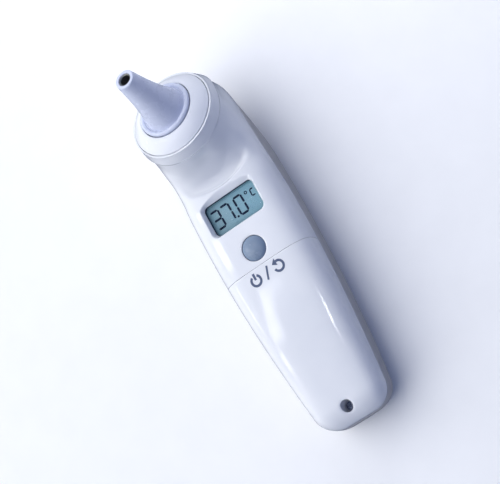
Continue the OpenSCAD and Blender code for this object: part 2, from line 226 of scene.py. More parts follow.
def rounded(corners, turns=6):
    """A closed outline from (x, y, radius) corners, each rounded by its radius."""
    out = []
    n = len(corners)
    for k in range(n):
        before = np.array(corners[k - 1][:2], float)
        here = np.array(corners[k][:2], float)
        after = np.array(corners[(k + 1) % n][:2], float)
        radius = corners[k][2]
        a = (before - here) / np.linalg.norm(before - here)
        b = (after - here) / np.linalg.norm(after - here)
        between = math.acos(max(-1, min(1, float(a @ b))))
        if radius <= 0 or between > math.pi - 0.02:
            out.append(tuple(here))
            continue
        reach = radius / math.tan(between / 2)
        start, end = here + a * reach, here + b * reach
        middle = here + (a + b) / np.linalg.norm(a + b) * radius / math.sin(between / 2)
        for t in np.linspace(0, 1, turns + 1):
            p = start * (1 - t) + end * t - middle
            out.append(tuple(middle + p / np.linalg.norm(p) * radius))
    return out


def revolve(name, profile, place, turns=128, sharp=40):
    """A solid turned from a closed (radius, height) outline about its own z axis."""
    m = Mesh()
    angles = np.arange(turns) * 2 * math.pi / turns
    rings = []
    for r, z in profile:
        if r < 1e-6:
            rings.append(m.add(place(np.array([(0, 0, z)]))) * turns)
        else:
            rings.append(m.ring(np.stack([r * np.cos(angles), r * np.sin(angles)], 1), z, place))
    for k, ring in enumerate(rings):
        before = rings[k - 1]
        if profile[k][0] < 1e-6 and profile[k - 1][0] < 1e-6:
            continue
        m.tube(before, ring)
    return m.object(name, sharp)


def prism(name, outline, low, high, place, sharp=40):
    """A solid raised from a closed (x, y) outline between two heights."""
    m = Mesh()
    bottom = m.ring(outline, low, place)
    top = m.ring(outline, high, place)
    m.face(bottom[::-1])
    m.face(top)
    m.tube(bottom, top)
    return m.object(name, sharp)


def cylinder(radius, low, high, place, turns=64):
    profile = [(0, low), (radius, low), (radius, high), (0, high)]
    return revolve("tool", profile, place, turns)


def rounded_rectangle(w, h, r, turns=8):
    return rounded([(w / 2, h / 2, r), (-w / 2, h / 2, r), (-w / 2, -h / 2, r), (w / 2, -h / 2, r)], turns)


def combine(obj, tools, operation, sharp=40):
    """Adds the tools to obj, or cuts them from it, and removes them."""
    for tool in tools:
        modifier = obj.modifiers.new("tool", "BOOLEAN")
        modifier.operation = operation
        modifier.solver = "MANIFOLD"
        modifier.object = tool
    graph = bpy.context.evaluated_depsgraph_get()
    made = bpy.data.meshes.new_from_object(obj.evaluated_get(graph))
    obj.modifiers.clear()
    obj.data = made
    for tool in tools:
        bpy.data.objects.remove(tool)
    smooth(obj, sharp)
    return obj


# ---------- materials ----------
def nodes_of(name):
    material = bpy.data.materials.new(name)
    material.use_nodes = True
    tree = material.node_tree
    return material, tree, tree.nodes["Principled BSDF"]


def coordinate(tree, kind, axis):
    """One coordinate of the place that is shaded, or of the direction in the sky."""
    coords = tree.nodes.new("ShaderNodeTexCoord")
    split = tree.nodes.new("ShaderNodeSeparateXYZ")
    tree.links.new(coords.outputs[kind], split.inputs[0])
    return split.outputs[axis]


def noise(tree, scale, detail=4.0, stretch=None):
    """Noise over the object's own coordinates, in features per metre."""
    coords = tree.nodes.new("ShaderNodeTexCoord")
    source = coords.outputs["Object"]
    if stretch:
        mapping = tree.nodes.new("ShaderNodeMapping")
        mapping.inputs["Scale"].default_value = stretch
        tree.links.new(source, mapping.inputs["Vector"])
        source = mapping.outputs["Vector"]
    texture = tree.nodes.new("ShaderNodeTexNoise")
    texture.inputs["Scale"].default_value = scale
    texture.inputs["Detail"].default_value = detail
    tree.links.new(source, texture.inputs["Vector"])
    return texture.outputs["Fac"]


def ranged(tree, value, low, high, start=0.3, end=0.7):
    """A value between start and end, which is where most of the noise lies, taken to low to high."""
    node = tree.nodes.new("ShaderNodeMapRange")
    node.inputs["From Min"].default_value = start
    node.inputs["From Max"].default_value = end
    node.inputs["To Min"].default_value = low
    node.inputs["To Max"].default_value = high
    tree.links.new(value, node.inputs["Value"])
    return node.outputs["Result"]


def mixed(tree, factor, first, second):
    """A colour between two, each a colour or an output."""
    node = tree.nodes.new("ShaderNodeMix")
    node.data_type = "RGBA"
    tree.links.new(factor, node.inputs["Factor"])
    for key, colour in (("A", first), ("B", second)):
        socket = [s for s in node.inputs if s.name == key and s.type == "RGBA"][0]
        if isinstance(colour, tuple):
            socket.default_value = (*colour, 1)
        else:
            tree.links.new(colour, socket)
    return [s for s in node.outputs if s.type == "RGBA"][0]


def bumped(tree, shader, value, distance, strength=1.0):
    node = tree.nodes.new("ShaderNodeBump")
    node.inputs["Distance"].default_value = distance
    node.inputs["Strength"].default_value = strength
    tree.links.new(value, node.inputs["Height"])
    tree.links.new(node.outputs["Normal"], shader.inputs["Normal"])


def paint(tree, shader, colour, rough):
    tree.links.new(colour, shader.inputs["Base Color"])
    tree.links.new(rough, shader.inputs["Roughness"])


def plastic(name, colour, shade, rough=(0.18, 0.26), grain=3e-6, coat=0.0, scale=2600):
    """Moulded plastic: faint drifts of colour, uneven gloss, and a fine moulded skin."""
    material, tree, shader = nodes_of(name)
    tint = mixed(tree, ranged(tree, noise(tree, 60, 2), 0, 1), colour, shade)
    paint(tree, shader, tint, ranged(tree, noise(tree, 240, 5), *rough))
    shader.inputs["IOR"].default_value = 1.5
    shader.inputs["Coat Weight"].default_value = coat
    shader.inputs["Coat Roughness"].default_value = 0.07
    bumped(tree, shader, noise(tree, scale, 3), grain)
    return material


def metal(name, colour, shade, rough=(0.2, 0.34), brushed=(1.0, 1.0, 1.0), scale=1500):
    """Plated or turned metal, with brushed streaks and slightly uneven gloss."""
    material, tree, shader = nodes_of(name)
    streaks = noise(tree, scale, 6, brushed)
    tint = mixed(tree, ranged(tree, streaks, 0, 1), colour, shade)
    paint(tree, shader, tint, ranged(tree, noise(tree, scale * 0.6, 3), *rough))
    shader.inputs["Metallic"].default_value = 1.0
    bumped(tree, shader, streaks, 4e-6)
    return material


def give(obj, material):
    obj.data.materials.clear()
    obj.data.materials.append(material)


def piece(obj, body, node):
    """A finished piece, which stands for a CAD node and has the node's material."""
    give(obj, MATERIALS[node])
    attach(obj, body)
    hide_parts(node)


def ride_only(obj, body, material):
    """A piece that belongs to a CAD node's looks without standing for it alone."""
    give(obj, MATERIALS[material])
    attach(obj, body)


# ---------- the body's outline ----------
def station(s):
    """The outline's row between the stations, on a smooth curve through them."""
    i = min(int(s), LAST - 1)
    t = s - i
    a, b, c, d = STATIONS[i:i + 4]
    return (2 * b + (c - a) * t + (2 * a - 5 * b + 4 * c - d) * t ** 2 + (3 * b - a - 3 * c + d) * t ** 3) / 2


def end_draw(y):
    """How far the bottom end's rounding has drawn in at y, from 0 to 1."""
    return 0.0 if y >= END_R else 1 - math.sqrt(1 - (1 - max(y, 0) / END_R) ** 2)


# From the middle of the back to the middle of the front, closer together there and at the sides
QUARTER = np.linspace(0, 1, 170)
QUARTER = 3 * QUARTER ** 2 - 2 * QUARTER ** 3
ANGLES = np.concatenate([-QUARTER[::-1], QUARTER[1:]]) * math.pi / 2


def half_slice(s, inset):
    """The right half of the outline at station s, from the middle of the back to the middle of the front."""
    front_y, front_z, back_y, back_z, half, nf, nb, share = station(s)
    k = end_draw(front_y - inset)
    front = np.array((front_y, front_z - END_FRONT * k))
    back = np.array((back_y, back_z + END_BACK * k))
    deep = np.linalg.norm(back - front)
    way = (back - front) / deep
    start = front + way * inset
    d = deep - 2 * inset
    n = np.where(ANGLES > 0, nf, nb)
    across = (half - END_SIDE * k - inset) * np.cos(ANGLES).clip(0) ** (2 / n)
    rise = np.abs(np.sin(ANGLES)) ** (2 / n)
    g = np.where(ANGLES > 0, share * d * (1 - rise), share * d + (1 - share) * d * rise)
    points = np.stack([across, start[0] + way[0] * g, start[1] + way[1] * g], 1)
    points[:, 2] = np.maximum(points[:, 2], inset)
    return points


def seam_z(y):
    y = np.asarray(y, float)
    swell = SWELL * (1 - np.cos((y - SWELL_Y) * 2 * math.pi / SWELL_LENGTH))
    return SEAM_Z + np.where((y > SWELL_Y) & (y < SWELL_Y + SWELL_LENGTH), swell, 0)


def above_seam(points):
    return points[..., 2] - seam_z(points[..., 1])


def slice_row(s, inset, side, shares):
    """One row of a shell: from its right border over its middle to its left border.

    side is 1 for a shell above the seam and -1 for one below it. The first points have the heights in
    LEVELS, off the seam, and the rest lie at shares of the way to the middle.
    """
    outline = half_slice(s, inset)
    steps = np.linalg.norm(np.diff(outline, axis=0), axis=1)
    way = np.concatenate([[0], np.cumsum(steps)])
    height = above_seam(outline)
    order = np.maximum.accumulate(height)
    levels = np.array(LEVELS)
    near = np.interp(side * levels, order, way)
    if side < 0:
        near = np.where(order[0] > -levels, 0, near)
    end = way[-1] if side > 0 else 0.0
    rest = near[-1] + (end - near[-1]) * shares
    places = np.concatenate([near, rest])
    right = np.stack([np.interp(places, way, outline[:, k]) for k in range(3)], 1)
    left = right[-2::-1] * (-1, 1, 1)
    return np.concatenate([right, left])


def grid_of(stations, inset, side, shares):
    return np.array([slice_row(s, inset, side, shares) for s in stations])


def rows_between(first, last, step):
    """Stations from first to last whose slices are at most step apart."""
    s = np.linspace(first, last, 600)
    v = np.array([station(x)[:4] for x in s])
    front = np.linalg.norm(np.diff(v[:, :2], axis=0), axis=1)
    back = np.linalg.norm(np.diff(v[:, 2:4], axis=0), axis=1)
    way = np.concatenate([[0], np.cumsum(np.maximum(front, back))])
    count = max(1, math.ceil(way[-1] / step))
    return list(np.interp(np.linspace(0, way[-1], count + 1), way, s))


def crossing(side):
    """The station where the seam passes over the middle of the back."""
    s = np.linspace(6, LAST, 400)
    back = np.array([(0, station(x)[2], station(x)[3]) for x in s])
    return float(np.interp(side * SEAM, above_seam(back), s))


def arc(first, last, count):
    return [math.radians(a) for a in np.linspace(first, last, count)]


def end_turn():
    """Stations over the bottom end's rounding."""
    return [END_R * (1 - math.cos(a)) / STEP_Y for a in arc(0, 90, 26)]


def roll(gap, other=None):
    """How far a rounded edge lies below the surface, at a distance from one edge or from two."""
    a = (EDGE - gap).clip(0, EDGE)
    b = 0 if other is None else (EDGE - other).clip(0, EDGE)
    return EDGE - np.sqrt((EDGE ** 2 - a ** 2 - b ** 2).clip(0))


def spread(parts):
    """Shares of a way from 0 to 1 in (how much of the way, how many steps) parts, without the start."""
    out = [0.0]
    for part, count in parts:
        out += list(np.linspace(out[-1], out[-1] + part, count + 1)[1:])
    return np.array(out[1:]) / out[-1]


def thinned(count, every):
    """Every so many of a count of rows, and the last."""
    steps = list(range(0, count, every))
    return steps if steps[-1] == count - 1 else steps + [count - 1]


def capped(grid, y, z):
    """The grid with rows before it that close the bottom end, from its middle out to the first row."""
    middle = np.array((0, y, z))
    rows = [middle + (grid[0] - middle) * t for t in (0, 0.2, 0.4, 0.6, 0.8)]
    return np.array(rows + list(grid))


def sink(outside, inside, depth):
    """The outside moved in towards the inside by a depth at each point."""
    return outside + (inside - outside) * (depth / WALL)[..., None]


# ---------- details of the front ----------
def soft_least(a, b, blend):
    """The lesser of two heights, rounded over where they cross."""
    h = (0.5 + 0.5 * (b - a) / blend).clip(0, 1)
    return b * (1 - h) + a * h - blend * h * (1 - h)


def rectangle_distance(x, y, w, h, r):
    """Distance outside a rounded rectangle, negative within it."""
    qx = np.abs(x) - w / 2 + r
    qy = np.abs(y) - h / 2 + r
    outside = np.hypot(np.maximum(qx, 0), np.maximum(qy, 0))
    return outside + np.minimum(np.maximum(qx, qy), 0) - r


ARCH_R = 31
ARCH_TOP = 9.1


def recess_distance(x, y):
    """Distance outside the display recess's outline, whose upper edge is an arch."""
    plain = rectangle_distance(x + 0.1, y + 0.1, DISPLAY_W + 1.8, DISPLAY_H + 1.4, 2.6)
    arch = np.hypot(x - 1.2, y - ARCH_TOP + ARCH_R) - ARCH_R
    sides = np.abs(x) - DISPLAY_W / 2 - 0.6
    tall = np.maximum(np.maximum(arch, sides), -y)
    return soft_least(plain, tall, 0.6)


def hollow_display(points):
    """Sinks the slanted surround of the display into the front, down to the lip round the window."""
    x, y, z = points[..., 0], points[..., 1] - DISPLAY_Y, points[..., 2]
    inner = rectangle_distance(x, y, DISPLAY_W, DISPLAY_H, DISPLAY_CORNER)
    outer = recess_distance(x, y)
    band = np.maximum(inner - outer, 0.6)
    lip = LIP_Z + LIP_T
    slant = lip + np.maximum(z - lip, 0) * np.maximum(inner, 0) / band
    sunk = soft_least(z, slant, 0.25) - eased_edge(inner, 0.5, 0.1)
    within = (outer < 2) & (z > 20)
    out = points.copy()
    out[..., 2] = np.where(within, sunk, z)
    return out


def eased_edge(away, reach, depth):
    """How far a surface bends down towards an opening, at a distance away from it."""
    return depth * np.clip(1 - away / reach, 0, 1) ** 2


def round_hole(points, x, y, radius, reach):
    """Rounds the surface over into a hole that is cut straight down later."""
    away = np.hypot(points[..., 0] - x, points[..., 1] - y) - radius
    out = points.copy()
    out[..., 2] -= np.where(points[..., 2] > 14, eased_edge(away, reach, 0.3 * reach), 0)
    return out


NOSE_AXIS = np.array((0, math.sin(PROBE_LEAN), math.cos(PROBE_LEAN)))


def eased(value):
    """A smooth rise from 0 to 1 as the value goes from 0 to 1."""
    t = np.clip(value, 0, 1)
    return t * t * (3 - 2 * t)


def hollow_neck(points):
    """Shapes the collar's flared band, the crease at its foot, and the cove that ends in a soft ridge."""
    off = points - NOSE
    along = off @ NOSE_AXIS
    radial = off - along[..., None] * NOSE_AXIS
    radius = np.linalg.norm(radial, axis=-1)
    radial = radial / np.maximum(radius, 1e-6)[..., None]
    below = -along
    # the band is 4.6 mm wide, and the crease below it is deepest on the side of the display
    band_w = 4.6
    facing = np.clip(-radial @ np.cross((1, 0, 0), NOSE_AXIS), 0, 1)
    flare = 0.45 * eased(below / (band_w + 0.2)) * (1 - eased((below - band_w) / 1.3))
    undercut = (0.25 + 0.75 * facing) * eased((below - band_w) / 5) * (1 - eased((below - 10) / 7))
    near = 1 - eased((radius - 21) / 3)
    out = points + (radial * ((flare - undercut) * near)[..., None])
    # the cove lies between two radii from the nose's axis, and fades out towards the sides
    cove_from = 18.4
    ridge_at = 25.9
    depth = 1.9 * eased((ridge_at - radius) / 3.4) * eased((radius - cove_from) / 1.6)
    depth *= 1 - 0.8 * eased((np.abs(points[..., 0]) - 12) / 6)
    return out - depth[..., None] * NOSE_AXIS


def rim_rows(base):
    """The collar's rounded rim, and then the bore and the ledge for the nose ring."""
    off = base - NOSE
    out = off - (off @ NOSE_AXIS)[:, None] * NOSE_AXIS
    out /= np.linalg.norm(out, axis=1)[:, None]
    bore = NOSE_R + 0.25
    turn_in = 0.05
    rows = []
    for a in arc(0, 90, 5):
        rows.append(base - out * EDGE * (1 - math.cos(a)) - NOSE_AXIS * EDGE * (1 - math.sin(a)))
    for a in arc(0, 90, 5):
        radius = bore + turn_in * (1 - math.sin(a))
        rows.append(NOSE + out * radius - NOSE_AXIS * turn_in * (1 - math.cos(a)))
    for radius in (bore, LEDGE_R):
        rows.append(NOSE + out * radius - NOSE_AXIS * LEDGE_DEPTH)
    return np.array(rows)


# ---------- shells ----------
def front_stations(cross):
    """The front shell's stations, and the number of the first one past the crossing."""
    start = (COVER_Y + PARTING) / STEP_Y
    stations = [start + t / STEP_Y for t in TURN_IN]
    # closer rows for the display's surround
    past_display = 5.6
    stations += rows_between(stations[-1], past_display, 0.25)[1:]
    stations += rows_between(past_display, cross - 0.4, 0.5)[1:]
    stations += [cross - 0.4 * (1 - k / 10) ** 2 for k in range(1, 11)]
    closed_from = len(stations) - 1
    stations += [cross + 0.2 * (k / 6) ** 2 for k in range(1, 7)]
    stations += rows_between(cross + 0.2, LAST - 0.035, 0.5)[1:]
    return stations, closed_from


def front_surfaces(stations, shares):
    """The front's outside and inside, with the neck, the display's surround and the lip behind it."""
    outside = grid_of(stations, 0, 1, shares)
    inside = grid_of(stations, WALL, 1, shares)
    edge_gap = outside[..., 1] - COVER_Y - PARTING + EDGE * 0.55
    outside = sink(outside, inside, roll(above_seam(outside) - SEAM, edge_gap))
    outside = hollow_display(hollow_neck(outside))
    outside = round_hole(outside, 0, BUTTON_Y, BUTTON_HOLE_R, 0.7)
    inside = hollow_neck(inside)
    x, y, z = inside[..., 0], inside[..., 1] - DISPLAY_Y, inside[..., 2]
    lowered = (z > 20) & (rectangle_distance(x, y, LCD_W + 2.8, LCD_H + 2.4, 1) < 0)
    inside[..., 2] = np.where(lowered, LIP_Z, z)
    return outside, inside


def front_shell():
    stations, closed_from = front_stations(crossing(1))
    shares = spread([(17.5, 32), (13.5, 54)])
    outside, inside = front_surfaces(stations, shares)
    # the inside has a quarter of the rows, and stops below the ledge that the nose ring sits on
    below = (inside[:, -1] - NOSE) @ NOSE_AXIS < -4.2
    rows = thinned(int(below.sum()), 4)
    columns = thinned(outside.shape[1], 4)
    inner = inside[rows][:, columns].copy()
    split = next(i for i, r in enumerate(rows) if r >= closed_from)
    inner[:split, 0, 0] = np.maximum(inner[:split, 0, 0], 0.05)
    inner[:split, -1, 0] = np.minimum(inner[:split, -1, 0], -0.05)

    m = Mesh()
    outer_ids = grid_ids(m, outside, closed_from)
    inner_ids = grid_ids(m, inner, split)
    m.sheet(outer_ids)
    m.sheet(inner_ids)
    m.strip(outer_ids[0], inner_ids[0], columns)
    for side in (0, -1):
        fine = [row[side] for row in outer_ids[:closed_from + 1]]
        coarse = [row[side] for row in inner_ids[:split + 1]]
        m.strip(fine, coarse, rows[:split] + [closed_from])
    rim_ids = grid_ids(m, rim_rows(slice_row(LAST, 0, 1, shares)), 0)
    m.sheet([outer_ids[-1], *rim_ids])
    m.strip(rim_ids[-1], inner_ids[-1], columns)
    return m.object("front_shell")


def grid_ids(m, grid, closed_from):
    """Adds a grid's points, joining those that fall together in a row, and the two borders from a row on."""
    ids = []
    for i, row in enumerate(grid):
        mine = []
        for j, point in enumerate(row):
            if j and np.linalg.norm(point - row[j - 1]) < 1e-5:
                mine.append(mine[-1])
            elif i >= closed_from and j == len(row) - 1:
                mine.append(mine[0])
            else:
                mine.extend(m.add([point]))
        if i >= closed_from:
            tail = len(mine) - 1
            while tail and np.linalg.norm(row[tail] - row[0]) < 1e-5:
                mine[tail] = mine[0]
                tail -= 1
        ids.append(mine)
    return ids


def cover_shell():
    turn = end_turn()
    top = (COVER_Y - PARTING) / STEP_Y
    end = [top - t / STEP_Y for t in TURN_IN[::-1]]
    stations = turn + rows_between(turn[-1], end[0], 0.6)[1:] + end[1:]
    shares = spread([(16, 30), (14, 34)])
    outside = grid_of(stations, 0, 1, shares)
    first = WALL / STEP_Y
    inside = grid_of([first + s * (top - first) / top for s in stations], WALL, 1, shares)
    towards = grid_of([max(s, first) for s in stations], WALL, 1, shares)
    edge_gap = COVER_Y - PARTING - outside[..., 1] + EDGE * 0.55
    outside = sink(outside, towards, roll(above_seam(outside) - SEAM, edge_gap))
    outside = round_hole(outside, 0, SCREW_Y, RECESS_R, 0.9)
    outside = capped(outside, 0, SEAM_Z + SEAM)
    inside = capped(inside, WALL, SEAM_Z + SEAM)
    return closed_shell("cover_shell", outside, inside, last_open=True)


def rear_shell():
    cross = crossing(-1)
    turn = end_turn()
    stations = turn + rows_between(turn[-1], cross - 0.4, 0.6)[1:]
    stations += [cross - 0.4 * (1 - k / 12) ** 2 for k in range(1, 13)]
    shares = spread([(6, 16), (14, 60), (8, 12)])
    outside = grid_of(stations, 0, -1, shares)
    first = WALL / STEP_Y
    inner_stations = [max(s, first) if s > 1 else first + s * (1 - first) for s in stations]
    inside = grid_of(inner_stations, WALL, -1, shares)
    towards = grid_of([max(s, first) for s in stations], WALL, -1, shares)
    outside = sink(outside, towards, roll(-SEAM - above_seam(outside)))
    outside = capped(outside, 0, SEAM_Z - SEAM)
    inside = capped(inside, WALL, SEAM_Z - SEAM)
    return closed_shell("rear_shell", outside, inside, last_open=False)


def closed_shell(name, outside, inside, last_open):
    """A shell whose first row has shrunk to a point, and whose last row is an edge or a point too."""
    rows = thinned(len(outside), 4)
    columns = thinned(outside.shape[1], 4)
    m = Mesh()
    never = len(outside) + 1
    outer_ids = grid_ids(m, outside, never)
    inner_ids = grid_ids(m, inside[rows][:, columns], never)
    for ids in (outer_ids, inner_ids):
        for end in (0,) if last_open else (0, -1):
            ids[end] = [ids[end][0]] * len(ids[end])
    m.sheet(outer_ids)
    m.sheet(inner_ids)
    for side in (0, -1):
        m.strip([row[side] for row in outer_ids], [row[side] for row in inner_ids], rows)
    if last_open:
        m.strip(outer_ids[-1], inner_ids[-1], columns)
    return m.object(name)


# ---------- colours ----------
WHITE = (0.82, 0.835, 0.875)
WHITE_SHADE = (0.77, 0.79, 0.84)
SLATE = (0.22, 0.29, 0.40)
SLATE_SHADE = (0.18, 0.245, 0.35)


DARK = ((0.03, 0.03, 0.035), (0.05, 0.05, 0.055), (0.35, 0.5))
GREEN = ((0.02, 0.13, 0.06), (0.015, 0.1, 0.05), (0.3, 0.45))
STEEL = ((0.62, 0.63, 0.66), (0.5, 0.51, 0.55))
GLOSS = (0.08, 0.13)


def shown_plastics():
    """Plastics that show from outside, by the name of the CAD node or piece that wears them."""
    probe = ((0.65, 0.69, 0.83), (0.61, 0.65, 0.80))
    mark = ((0.085, 0.12, 0.22), (0.07, 0.10, 0.19))
    ink = ((0.006, 0.012, 0.035), (0.009, 0.016, 0.045))
    return {
        "front_housing": plastic("white_front", WHITE, WHITE_SHADE, GLOSS, coat=0.7),
        "battery_cover": plastic("white_cover", WHITE, WHITE_SHADE, GLOSS, coat=0.7),
        # a guessed grey, made darker than the front's white as painted shade for the strip along the right
        # edge where the rear turns from the light
        "rear_housing": plastic("rear_painted_shade_grey", (0.45, 0.445, 0.45), (0.42, 0.415, 0.42), (0.28, 0.38)),
        "nose_ring": plastic("white_ring", (0.84, 0.86, 0.92), WHITE_SHADE, (0.2, 0.28), coat=0.2),
        "probe_cone": plastic("slate_probe", *probe, (0.22, 0.32), coat=0.2),
        "power_button": plastic("slate_button", SLATE, SLATE_SHADE, (0.22, 0.3), coat=0.5),
        "scan_button": plastic("slate_scan", SLATE, SLATE_SHADE, (0.26, 0.38), grain=8e-6),
        "marks": plastic("slate_print", *mark, (0.35, 0.5), grain=1e-6),
        "segments": plastic("display_ink", *ink, (0.7, 0.85), grain=5e-7),
        # a dark border round the display that is also painted shade: its strip at the top and left stands for
        # the shade under the lip
        "display_mask_painted_shade": plastic("display_mask_painted_shade", (0.02, 0.03, 0.07), (0.025, 0.035, 0.08), (0.3, 0.4)),
        "tip_window": plastic("tip_filter", (0.02, 0.022, 0.03), (0.03, 0.032, 0.045), GLOSS),
    }


def inner_plastics():
    """Plastics, films and boards inside the housing."""
    return {
        "battery_tray": plastic("tray_plastic", (0.55, 0.57, 0.62), (0.5, 0.52, 0.58), (0.3, 0.42)),
        "lcd_frame": plastic("frame_plastic", (0.75, 0.76, 0.8), (0.7, 0.71, 0.76), (0.3, 0.4)),
        "lcd_connector_strips": plastic("strip_rubber", (0.05, 0.05, 0.06), (0.08, 0.08, 0.09), (0.5, 0.65)),
        "microcontroller": plastic("chip_resin", (0.015, 0.015, 0.018), (0.025, 0.025, 0.03), (0.4, 0.55)),
        "power_switch": plastic("switch_resin", *DARK),
        "scan_switch": plastic("scan_switch_resin", *DARK),
        "sensor_ribbon": plastic("ribbon_film", (0.45, 0.2, 0.05), (0.38, 0.16, 0.04), (0.22, 0.34)),
        "main_board": plastic("board_laminate", *GREEN, grain=6e-6),
        "sensor_board": plastic("sensor_laminate", *GREEN),
        "board_components": plastic("ceramic_parts", (0.42, 0.28, 0.14), (0.3, 0.2, 0.12), (0.35, 0.5)),
    }


def metals():
    """Metals, by the name of the CAD node or piece that wears them."""
    return {
        "cover_screw": metal("screw_plating", (0.36, 0.38, 0.45), (0.26, 0.28, 0.36), (0.22, 0.36)),
        "housing_screws": metal("housing_screw_plating", (0.4, 0.41, 0.45), (0.3, 0.31, 0.36), (0.25, 0.4)),
        "thermopile_sensor": metal("sensor_can", *STEEL, (0.16, 0.26)),
        "sensor_holder": metal("holder_alloy", (0.7, 0.7, 0.72), (0.6, 0.6, 0.63), (0.3, 0.42)),
        "waveguide_tube": metal("waveguide_plating", (0.5, 0.5, 0.52), (0.4, 0.4, 0.43), (0.14, 0.24)),
        "mouth": metal("mouth_alloy", (0.55, 0.55, 0.48), (0.44, 0.44, 0.38), (0.35, 0.5)),
        "bridge_plate": metal("bridge_nickel", *STEEL, (0.2, 0.32), (1, 0.1, 1)),
        "terminal_plates": metal("terminal_nickel", *STEEL, (0.2, 0.32), (1, 0.1, 1)),
        "battery_springs": metal("spring_nickel", *STEEL, (0.2, 0.32)),
        "buzzer": metal("buzzer_brass", (0.75, 0.55, 0.24), (0.66, 0.47, 0.2), (0.22, 0.34)),
    }


def make_materials():
    """Every material, by the name of the CAD node or piece that wears it."""
    made = {**shown_plastics(), **inner_plastics(), **metals()}
    ink = made["segments"].node_tree.nodes["Principled BSDF"]
    ink.inputs["Specular IOR Level"].default_value = 0.1
    made["display_window"] = window_material()
    made["lcd_panel"] = screen_material()
    made["left_cell"] = cell_material("left_cell_wrap", 1)
    made["right_cell"] = cell_material("right_cell_wrap", -1)
    return made


def window_material():
    """Clear moulded window: mostly see-through, with a polished skin and faint unevenness."""
    material, tree, shader = nodes_of("window_clear")
    shader.inputs["Base Color"].default_value = (0.08, 0.14, 0.18, 1)
    shader.inputs["Alpha"].default_value = 0.04
    shader.inputs["IOR"].default_value = 1.49
    tree.links.new(ranged(tree, noise(tree, 300, 3), 0.03, 0.08), shader.inputs["Roughness"])
    bumped(tree, shader, noise(tree, 150, 2), 2e-6)
    return material


def screen_material():
    """Teal reflective display glass with painted shade, darker and greyer towards its left where the recess
    wall shades it, and a fine dither of cells.
    """
    material, tree, shader = nodes_of("display_teal")
    # painted shade: the teal darkens from the glass's right edge to its left, standing for the recess wall's
    # shadow
    slope = ranged(tree, coordinate(tree, "Object", "X"), 0, 1, -0.011, 0.011)
    teal_painted_shade = mixed(tree, slope, (0.20, 0.35, 0.42), (0.245, 0.47, 0.58))
    fine = ranged(tree, noise(tree, 9000, 2), 0, 0.25)
    colour = mixed(tree, fine, teal_painted_shade, (0.16, 0.29, 0.36))
    paint(tree, shader, colour, ranged(tree, noise(tree, 400, 3), 0.25, 0.4))
    bumped(tree, shader, noise(tree, 9000, 2), 1e-6)
    return material


def cell_material(name, way):
    """A cell's wrapper: a dark body, a copper band at the button end and bare metal at the ends."""
    material, tree, shader = nodes_of(name)
    base_y = (PLATE_Y + PLATE_T + (SPRING_LENGTH if way > 0 else CELL_LENGTH) - HALF_LENGTH) * MM
    place = tree.nodes.new("ShaderNodeMath")
    place.operation = "MULTIPLY_ADD"
    place.inputs[1].default_value = way / (CELL_LENGTH * MM)
    place.inputs[2].default_value = -way * base_y / (CELL_LENGTH * MM)
    tree.links.new(coordinate(tree, "Object", "Y"), place.inputs[0])
    bands = tree.nodes.new("ShaderNodeValToRGB")
    bands.color_ramp.interpolation = "CONSTANT"
    ramp = bands.color_ramp.elements
    ramp.remove(ramp[1])
    ramp[0].color = (0.6, 0.6, 0.63, 1)
    for where, colour in ((0.012, (0.02, 0.03, 0.07)), (0.72, (0.5, 0.24, 0.1)), (0.968, (0.65, 0.65, 0.68))):
        ramp.new(where).color = (*colour, 1)
    tree.links.new(place.outputs[0], bands.inputs[0])
    worn = ranged(tree, noise(tree, 500, 5), 0, 0.16)
    tint = mixed(tree, worn, bands.outputs[0], (0.3, 0.3, 0.33))
    paint(tree, shader, tint, ranged(tree, noise(tree, 300, 4), 0.22, 0.36))
    shader.inputs["Metallic"].default_value = 0.55
    bumped(tree, shader, noise(tree, 1200, 3), 4e-6)
    return material


MATERIALS = make_materials()


# ---------- shells: holes, bosses and ribs ----------
def across_handle(inset, low_y, high_y, low_z):
    """A solid that fills the handle's section above a height, a distance in from the outside."""
    half = half_slice((low_y + high_y) / 2 / STEP_Y, inset)
    half = half[half[:, 2] > low_z][::4]
    right = np.concatenate([[(half[0, 0], low_z)], half[:, (0, 2)], [(0, half[-1, 2])]])
    outline = np.concatenate([right, right[-2::-1] * (-1, 1)])
    return prism("tool", outline, low_y, high_y, lambda p: np.stack([p[:, 0], p[:, 2], p[:, 1]], 1))


def ledge():
    """The rib that stands out under the battery cover's upper edge."""
    rib = across_handle(WALL + RUN, COVER_Y - 2, COVER_Y + 0.6, 16)
    return combine(rib, [across_handle(WALL + RUN + 1.2, COVER_Y - 3, COVER_Y + 0.5, 15)], "DIFFERENCE")


def bulkhead():
    """The wall between the battery bay and the electronics, with a gap for the leads."""
    wall = across_handle(WALL - 0.2, COVER_Y + 0.5, COVER_Y + 1.9, seam_z(0) + SEAM + 0.3)
    gap = prism("tool", rounded_rectangle(16, 12, 1), 10, 16.8, at(0, COVER_Y, 0))
    return combine(wall, [gap], "DIFFERENCE")


def build_front():
    shell = front_shell()
    outline = rounded_rectangle(DISPLAY_W, DISPLAY_H, DISPLAY_CORNER)
    opening = prism("tool", outline, 23, 31, at(0, DISPLAY_Y, 0))
    button = cylinder(BUTTON_HOLE_R, 20, 32, at(0, BUTTON_Y, 0), 128)
    combine(shell, [opening, button], "DIFFERENCE")
    combine(shell, [bulkhead(), ledge()], "UNION")
    piece(shell, "housing", "front_housing")


def build_cover():
    shell = cover_shell()
    boss = cylinder(2.7, 9.9, 20.2, at(0, SCREW_Y, 0), 96)
    combine(shell, [boss], "UNION")
    shaft = cylinder(SCREW_HOLE_R, 5, 30, at(0, SCREW_Y, 0), 48)
    recess = cylinder(RECESS_R, SCREW_SEAT, 30, at(0, SCREW_Y, 0), 128)
    combine(shell, [shaft, recess], "DIFFERENCE")
    piece(shell, "cover", "battery_cover")


